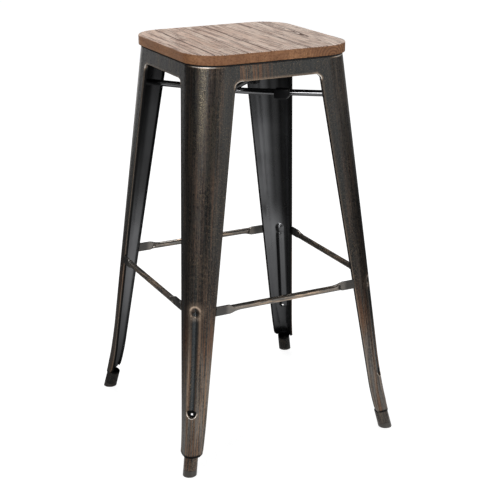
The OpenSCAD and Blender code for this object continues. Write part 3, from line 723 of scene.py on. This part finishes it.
# ---------------- materials
class Wiring:
    """Adds and links the nodes of one tree. Colours are given without their alpha."""

    def __init__(self, tree):
        self.tree = tree
        tree.nodes.clear()

    def feed(self, target, value):
        """Links the socket to another one, or sets it to a number, a vector or a colour."""
        if isinstance(value, bpy.types.NodeSocket):
            self.tree.links.new(value, target)
        elif isinstance(value, (int, float)):
            target.default_value = value
        else:
            target.default_value = (*value, 1)[:len(target.default_value)]

    def node(self, kind, feeds=None, **settings):
        """Adds a node; feeds gives what goes into its sockets, by their names or places."""
        made = self.tree.nodes.new("ShaderNode" + kind)
        for key, value in settings.items():
            setattr(made, key, value)
        for key, value in (feeds or {}).items():
            self.feed(made.inputs[key], value)
        return made

    def where(self):
        return self.node("TexCoord").outputs["Object"]

    def parts(self, vector):
        return self.node("SeparateXYZ", {0: vector}).outputs

    def math(self, operation, a, b=0.0, c=0.0, clamp=False):
        return self.node("Math", {0: a, 1: b, 2: c}, operation=operation, use_clamp=clamp).outputs[0]

    def add(self, a, b):
        return self.math("ADD", a, b)

    def times(self, a, b, clamp=False):
        return self.math("MULTIPLY", a, b, clamp=clamp)

    def times_add(self, a, b, c, clamp=False):
        return self.math("MULTIPLY_ADD", a, b, c, clamp)

    def mix(self, factor, a, b):
        return self.node("Mix", {0: factor, 6: a, 7: b}, data_type="RGBA").outputs[2]

    def ramp(self, value, low, high, to_low=0.0, to_high=1.0, shape="SMOOTHSTEP"):
        feeds = {0: value, 1: low, 2: high, 3: to_low, 4: to_high}
        return self.node("MapRange", feeds, interpolation_type=shape).outputs[0]


class Paint(Wiring):
    """Nodes of one material with a Principled shader."""

    def __init__(self, name):
        self.material = bpy.data.materials.new(name)
        self.material.use_nodes = True
        super().__init__(self.material.node_tree)

    def attribute(self, name):
        return self.node("Attribute", attribute_name=name).outputs["Fac"]

    def noise(self, vector, scale, detail, rough):
        feeds = {"Vector": vector, "Scale": scale, "Detail": detail, "Roughness": rough}
        return self.node("TexNoise", feeds).outputs["Fac"]

    def streaks(self, vector, scale, detail, rough, move=(0, 0, 0)):
        """Noise whose scale differs by direction, so that it draws streaks."""
        mapping = self.node("Mapping", {"Vector": vector, "Location": move, "Scale": scale})
        return self.noise(mapping.outputs[0], 1.0, detail, rough)

    def bump(self, height, strength, distance, below=None):
        feeds = {"Strength": strength, "Distance": distance, "Height": height}
        return self.node("Bump", {**feeds, "Normal": below} if below else feeds).outputs[0]

    def finish(self, colour, rough, metallic=0.0, specular=0.5, normal=None):
        """Feeds the shader and returns the material."""
        feeds = {"Base Color": colour, "Roughness": rough, "Metallic": metallic,
                 "Specular IOR Level": specular}
        shader = self.node("BsdfPrincipled", {**feeds, "Normal": normal} if normal else feeds)
        self.node("OutputMaterial", {0: shader.outputs[0]})
        return self.material


def antique_steel():
    """Near-black paint brushed along the sheet with fine bronze streaks and specks.

    The piece's own values vary it. "rub" shows copper through the paint, partly wear and partly painted
    highlights; above 1.5 bright metal, partly wear and mostly painted highlights and reflections; below 0
    painted shade. "warm" brings out redder streaks, above 0.6 paler ones too, on the legs partly a painted
    reflection of the floor, and below 0 a plain cool grey. "gilt" sprinkles gold flecks on darker paint, laid
    where highlights fall as a painted glint, and below 0 leaves plain dark paint, on the rear foot tubes
    painted shade."""
    p = Paint("antique_brushed_steel")
    uv = p.node("UVMap", uv_map="sheet").outputs[0]
    rub, warm, gilt = p.attribute("rub"), p.attribute("warm"), p.attribute("gilt")
    fine = p.streaks(uv, (340, 7, 1), 3, 0.65)
    broad = p.streaks(uv, (105, 8, 1), 4, 0.65, (3, 1, 0))
    patch = p.streaks(uv, (26, 9, 1), 3, 0.6, (9, 4, 0))
    tint = p.streaks(uv, (330, 5, 1), 2, 0.5, (17, 2, 0))
    speck = p.streaks(uv, (620, 420, 1), 2, 0.7, (5, 5, 0))
    fleck = p.streaks(uv, (330, 150, 1), 3, 0.75, (1, 6, 0))
    grit = p.streaks(uv, (560, 430, 1), 2, 0.75, (4, 8, 0))

    # brushed paint with bronze streaks
    streak = p.times_add(fine, 0.6, p.times(broad, 0.4))
    base = p.mix(p.ramp(streak, 0.36, 0.66), (0.021, 0.0225, 0.0235), (0.080, 0.0765, 0.0705))
    brown = p.mix(p.ramp(tint, 0.4, 0.6), (0.110, 0.075, 0.051), (0.190, 0.092, 0.052))
    amount = p.times(p.ramp(streak, 0.47, 0.68), p.ramp(patch, 0.35, 0.65))
    share = p.math("SUBTRACT", p.math("MINIMUM", warm, 0.8), p.ramp(warm, 0.9, 1.5, 0.0, 0.45))
    reddish = p.times(p.ramp(tint, 0.42, 0.54), share)
    colour = p.mix(p.times_add(reddish, 0.9, p.times(amount, 0.65), clamp=True), base, brown)

    # pale streaks where warm, on the legs partly a painted reflection of the floor; light and dark flecks,
    # plain parts
    pale = p.times(p.ramp(warm, 0.60, 1.60), p.ramp(streak, 0.42, 0.60, 0.16, 0.80))
    pale_colour = p.mix(p.ramp(tint, 0.46, 0.58), (0.215, 0.205, 0.195), (0.31, 0.215, 0.145))
    colour = p.mix(pale, colour, pale_colour)
    worn = p.times_add(warm, 0.06, p.ramp(patch, 0.40, 0.68, 0.08, 0.30))
    light = p.mix(p.ramp(tint, 0.35, 0.65), (0.30, 0.235, 0.15), (0.28, 0.185, 0.11))
    colour = p.mix(p.times(p.ramp(fleck, 0.50, 0.64), worn, clamp=True), colour, light)
    colour = p.mix(p.times(p.ramp(fleck, 0.47, 0.36), 0.4), colour, (0.020, 0.021, 0.023))
    colour = p.mix(p.ramp(warm, -0.5, 0.0, 0.75, 0.0), colour, (0.072, 0.083, 0.090))
    colour = p.mix(p.ramp(gilt, -1.0, 0.0, 0.62, 0.0), colour, (0.036, 0.039, 0.040))

    # gold flecks on darker paint, laid where highlights fall: a painted glint; and bronze dots
    gold = p.times(p.ramp(gilt, 0.05, 0.9), p.ramp(patch, 0.32, 0.55, 0.45, 1.0))
    colour = p.mix(p.times(gold, 0.7), colour, (0.026, 0.025, 0.022))
    colour = p.mix(p.times(gold, p.ramp(grit, 0.50, 0.60)), colour, (0.27, 0.222, 0.15))
    dots = p.times(p.ramp(speck, 0.56, 0.68), p.ramp(patch, 0.3, 0.7, 0.35, 0.9))
    colour = p.mix(p.times(dots, 0.7), colour, (0.30, 0.23, 0.155))

    # worn copper; bright raw metal, partly wear and mostly painted highlights and reflections; painted shade
    rubbed = p.ramp(p.add(fine, p.times(speck, 0.5)), 0.45, 0.8, 0.35, 1.0)
    colour = p.mix(p.times(rub, rubbed, clamp=True), colour, (0.50, 0.37, 0.27))
    bare_and_highlight = p.times(p.ramp(rub, 0.9, 1.5), p.ramp(patch, 0.30, 0.42))
    bare_and_highlight = p.math("MAXIMUM", bare_and_highlight, p.ramp(rub, 1.5, 1.8))
    colour = p.mix(bare_and_highlight, colour, (0.92, 0.88, 0.82))
    colour = p.mix(p.ramp(rub, -0.9, 0.0, 1.0, 0.0), colour, PAINTED_SHADE_BLACK)

    rough = p.times_add(streak, 0.20, p.times_add(fleck, 0.25, 0.08))
    grain = p.bump(fleck, 0.55, 0.0009, p.bump(speck, 0.35, 0.0005))
    grain = p.bump(fine, 0.25, 0.0003, grain)
    return p.finish(colour, rough, p.times_add(bare_and_highlight, -0.45, 0.85), normal=grain)


def black_paint(name, colour, rough, peel_scale, peel, metallic=0.0, warm=0.0, specular=0.5, inner=False):
    """Smooth satin paint with a faint orange peel. Warm adds copper streaks between the stool's corners and
    plain grey near them, where the tabs are; inner darkens the colour towards black by the piece's own
    "inner" value, painted shade that dims the gloss."""
    p = Paint(name)
    where = p.where()
    cloud = p.noise(where, 9.0, 3, 0.5)
    shade = p.mix(p.ramp(cloud, 0.35, 0.7), tuple(c * 0.8 for c in colour), tuple(c * 1.25 for c in colour))
    if warm:
        x, y = p.parts(where)[:2]
        inward = p.math("MINIMUM", p.math("ABSOLUTE", x), p.math("ABSOLUTE", y))
        streak = p.streaks(where, (22, 22, 260), 4, 0.7)
        share = p.times(p.ramp(inward, 0.02, 0.12, warm, 0.12 * warm), p.ramp(streak, 0.42, 0.60))
        shade = p.mix(share, shade, (0.60, 0.44, 0.31))
        shade = p.mix(p.ramp(inward, 0.119, 0.129, 0.0, 0.7), shade, (0.035, 0.035, 0.035))
    if inner:
        # painted shade: the inner paint darkened by the piece's own value
        shade = p.mix(p.attribute("inner"), PAINTED_SHADE_BLACK, shade)
    normal = p.bump(p.noise(where, peel_scale, 2, 0.5), peel, 0.0003)
    return p.finish(shade, p.times_add(cloud, 0.12, rough), metallic, specular, normal)


def oiled_wood():
    """One wide plank whose growth rings circle a heart that runs along Y under its right side: long dark
    lines on the top, a cathedral of arches over the heart, and arcs on the end grain.

    Ring distance = square root of (x - heart)^2 + (z - heart)^2, with a slow wobble; each ring ends in a
    dark line whose strength is drawn per ring. Fine fibres and open pores run along Y."""
    p = Paint("brushed_wood")
    where = p.where()
    x, y, z = p.parts(where)
    wobble = p.streaks(where, (7, 2.2, 7), 2, 0.5)
    ripple = p.streaks(where, (40, 12, 40), 3, 0.6)
    broken = p.streaks(where, (60, 22, 60), 3, 0.7, (8, 3, 5))
    fibre = p.streaks(where, (230, 11, 230), 3, 0.6)
    weft = p.streaks(where, (270, 12, 270), 2, 0.6, (6, 2, 9))
    pores = p.streaks(where, (300, 22, 300), 2, 0.7, (2, 7, 1))
    tone = p.streaks(where, (22, 4, 22), 3, 0.6, (4, 0, 2))
    grain = p.streaks(where, (190, 190, 420), 3, 0.7, (1, 2, 3))

    # growth rings and their dark late wood
    dx = p.math("SUBTRACT", x, p.times_add(y, HEART_DRIFT[0], HEART[0]))
    dz = p.math("SUBTRACT", z, p.times_add(y, HEART_DRIFT[1], HEART[1]))
    rho = p.math("SQRT", p.add(p.times(dx, dx), p.times(dz, dz)))
    rho = p.add(rho, p.times_add(wobble, 0.014, -0.007))
    rho = p.add(rho, p.times_add(ripple, 0.004, -0.002))
    turns = p.math("DIVIDE", rho, RING_PITCH)
    within = p.math("FRACT", turns)
    pick = p.node("TexWhiteNoise", noise_dimensions="1D")
    p.feed(pick.inputs["W"], p.add(p.math("FLOOR", turns), 7.3))
    strength = p.ramp(pick.outputs["Value"], 0.35, 0.80, 0.36, 1.0)
    late = p.times(p.times(p.ramp(within, 0.5, 0.85), p.ramp(within, 0.92, 1.0, 1.0, 0.0)), strength)
    for radius, width in BOLD_RINGS:
        near = p.math("ABSOLUTE", p.math("SUBTRACT", rho, radius))
        late = p.math("MAXIMUM", late, p.ramp(near, 0.45 * width, width, 1.0, 0.0))
    late = p.times(late, p.ramp(broken, 0.3, 0.5, 0.6, 1.0))

    # the top, brushed and pale between the lines, its paleness partly painted light from above
    light = p.mix(p.ramp(tone, 0.35, 0.65), (0.76, 0.56, 0.45), (0.62, 0.43, 0.33))
    light = p.mix(p.times(p.ramp(fibre, 0.48, 0.58), 0.75), light, (0.80, 0.67, 0.57))
    light = p.mix(p.times(p.ramp(weft, 0.53, 0.60), 0.85), light, (0.22, 0.11, 0.07))
    light = p.mix(p.times(p.ramp(within, 0.0, 0.25, 1.0, 0.0), strength), light, (0.84, 0.72, 0.63))
    # paler towards the right: partly its own tone, partly painted light
    light = p.mix(p.ramp(x, -0.10, 0.16, 0.0, 0.25), light, (0.90, 0.80, 0.72))
    top = p.mix(late, light, (0.070, 0.030, 0.018))
    top = p.mix(p.times(p.ramp(pores, 0.57, 0.66), 0.75), top, (0.14, 0.065, 0.04))

    # the sides, darker, partly end grain and partly painted shade, with arcs towards the right
    side = p.mix(p.ramp(tone, 0.35, 0.65), (0.50, 0.245, 0.115), (0.36, 0.165, 0.075))
    side = p.mix(p.times(p.ramp(grain, 0.48, 0.62), 0.6), side, (0.18, 0.074, 0.032))
    arcs = p.ramp(p.math("FRACT", p.times(turns, 0.7)), 0.3, 0.85)
    side = p.mix(p.times(arcs, p.ramp(x, 0.03, 0.11, 0.10, 0.6)), side, (0.10, 0.045, 0.02))
    # top and sides get separate tones: partly the wood's own, partly lit and shaded tones
    colour = p.mix(p.ramp(z, (SEAT_TOP - 1.3) * MM, (SEAT_TOP - 0.2) * MM), side, top)

    rough = p.times_add(late, 0.15, p.times_add(fibre, 0.2, 0.36))
    relief = p.add(p.times(late, -0.9), p.times(p.ramp(pores, 0.56, 0.68), -0.6))
    relief = p.add(relief, p.times(p.ramp(weft, 0.42, 0.68), -0.9))
    relief = p.add(relief, p.times(p.ramp(fibre, 0.44, 0.62), 0.6))
    return p.finish(colour, rough, specular=0.4, normal=p.bump(relief, 0.5, 0.0008))


def zinc_plate():
    """Bright plated steel with fine scatter."""
    p = Paint("zinc_plate")
    cloud = p.noise(p.where(), 300, 3, 0.6)
    colour = p.mix(cloud, (0.42, 0.42, 0.43), (0.62, 0.62, 0.62))
    return p.finish(colour, p.times_add(cloud, 0.2, 0.25), metallic=1.0)


# ---------------- stage and light
RIGHT_WEDGE = toward(123, 0)
REAR_LEFT = toward(-154, 0)


def make_stage():
    """Pale floor that reads white to the camera, yet keeps the stool's shadow.

    In gloss it glows by itself: evenly near the stool, fading with distance, to the rear and in a wedge at
    the right, with a faint second glow far to the rear left and a strip far behind."""
    mesh = bpy.data.meshes.new("floor")
    mesh.from_pydata([(-9, -9, 0), (9, -9, 0), (9, 9, 0), (-9, 9, 0)], [], [(0, 1, 2, 3)])
    floor = bpy.data.objects.new("floor", mesh)
    bpy.context.scene.collection.objects.link(floor)
    material = bpy.data.materials.new("pale_floor")
    material.use_nodes = True
    p = Wiring(material.node_tree)
    rays = p.node("LightPath").outputs
    where = p.where()

    def reach(direction):
        return p.node("VectorMath", {0: where, 1: direction}, operation="DOT_PRODUCT").outputs["Value"]

    away = p.node("VectorMath", {0: where}, operation="LENGTH").outputs["Value"]
    back = reach((0, 1, 0))
    seen = p.times(rays["Is Camera Ray"], p.ramp(away, 0.5, 2.5, 0.86, 1.0))
    even = p.times(p.ramp(away, 1.1, 2.5, 0.95, 0.05), p.ramp(back, -0.35, 0.35, 1.0, 0.10))
    wedge = p.times(p.ramp(reach(RIGHT_WEDGE), -0.02, 0.08), p.ramp(away, 0.70, 1.0))
    even = p.times(even, p.math("SUBTRACT", 1.0, wedge))
    strip = p.times(p.ramp(back, 0.9, 1.4), p.ramp(reach((1, 0.3, 0)), -0.1, 0.2))
    far = p.times_add(strip, 0.30, p.ramp(reach(REAR_LEFT), 1.1, 1.8, 0.0, 0.08))
    strength = p.times_add(rays["Is Glossy Ray"], p.add(even, far), seen)
    glow = p.node("Emission", {"Strength": strength})
    paint = p.node("BsdfDiffuse", {0: p.mix(rays["Is Glossy Ray"], (0.34, 0.34, 0.34), (0.06, 0.06, 0.06))})
    both = p.node("AddShader", {0: paint.outputs[0], 1: glow.outputs[0]})
    p.node("OutputMaterial", {0: both.outputs[0]})
    mesh.materials.append(material)


def make_world():
    """White to the camera; for everything else pale walls, brightest at the front, that darken upwards."""
    world = bpy.data.worlds.new("studio")
    bpy.context.scene.world = world
    world.use_nodes = True
    p = Wiring(world.node_tree)
    y, z = p.parts(p.node("TexCoord").outputs["Generated"])[1:]
    walls = p.ramp(y, -1.0, 0.6, 1.35, 0.35, shape="LINEAR")
    room = p.node("Background", {"Strength": p.times(walls, p.ramp(z, 0.0, 0.6, 0.32, 0.12))})
    view = p.node("Background", {"Color": (1, 1, 1)})
    camera_ray = p.node("LightPath").outputs["Is Camera Ray"]
    pick = p.node("MixShader", {0: camera_ray, 1: room.outputs[0], 2: view.outputs[0]})
    p.node("OutputWorld", {0: pick.outputs[0]})


def make_lamp(name, azimuth, elevation, distance, size, power):
    """Soft rectangular lamp aimed at the stool's middle."""
    back = toward(azimuth, elevation)
    data = bpy.data.lights.new(name, "AREA")
    data.shape = "RECTANGLE"
    data.size, data.size_y = size
    data.energy = power
    lamp = bpy.data.objects.new(name, data)
    bpy.context.scene.collection.objects.link(lamp)
    lamp.location = Vector((0, 0, 0.4)) + back * distance
    lamp.visible_camera = False
    lamp.rotation_mode = "QUATERNION"
    lamp.rotation_quaternion = back.to_track_quat("Z", "Y")


# ---------------- put together
steel = antique_steel()
inside = black_paint("inner_black_paint", (0.155, 0.157, 0.162), 0.22, 700, 0.05, metallic=0.97, inner=True)
gloss = black_paint("gloss_black_paint", (0.17, 0.17, 0.175), 0.06, 500, 0.04, metallic=0.95)
bar_paint = black_paint("footrest_paint", (0.150, 0.143, 0.133), 0.20, 600, 0.10, metallic=0.85, warm=0.85)
pan_paint = black_paint("pan_black_paint", (0.010, 0.010, 0.011), 0.45, 700, 0.10, specular=0.4)
plastic = black_paint("moulded_black", (0.006, 0.006, 0.007), 0.22, 900, 0.08)
rubber = black_paint("glide_rubber", (0.085, 0.078, 0.071), 0.26, 900, 0.10, metallic=0.7)
zinc = zinc_plate()

make_legs([steel, inside])
make_aprons([steel, inside])
make_board(oiled_wood())
make_pan(pan_paint)
make_footrests(bar_paint)
make_brace("brace_tube_upper", "brace_upper", -1, 45, gloss)
make_brace("brace_tube_lower", "brace_lower", 1, -45, gloss)
for corner, (bend, degrees) in BUMPERS.items():
    make_bumper("stacking_bumper_" + corner, "bumper_" + corner, bend, degrees, plastic)
make_feet(steel, rubber)
for node in ("seat_screws", "screw_washers"):
    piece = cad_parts[node]
    piece.data.materials.clear()
    piece.data.materials.append(zinc)

make_stage()
make_world()
for lamp in (("left_softbox", -58, 22, 2.6, (0.5, 1.3), 19), ("top_softbox", 170, 64, 2.6, (1.8, 1.2), 46),
             ("right_softbox", 70, 20, 3.0, (1.0, 1.9), 8), ("front_softbox", 21, 10, 3.0, (2.6, 1.8), 18),
             ("rear_left_softbox", -176, 5, 3.0, (1.8, 1.8), 8.5),
             ("front_fill", -5, 50, 3.4, (1.6, 1.2), 12)):
    make_lamp(*lamp)

bpy.context.scene.view_settings.view_transform = "Standard"
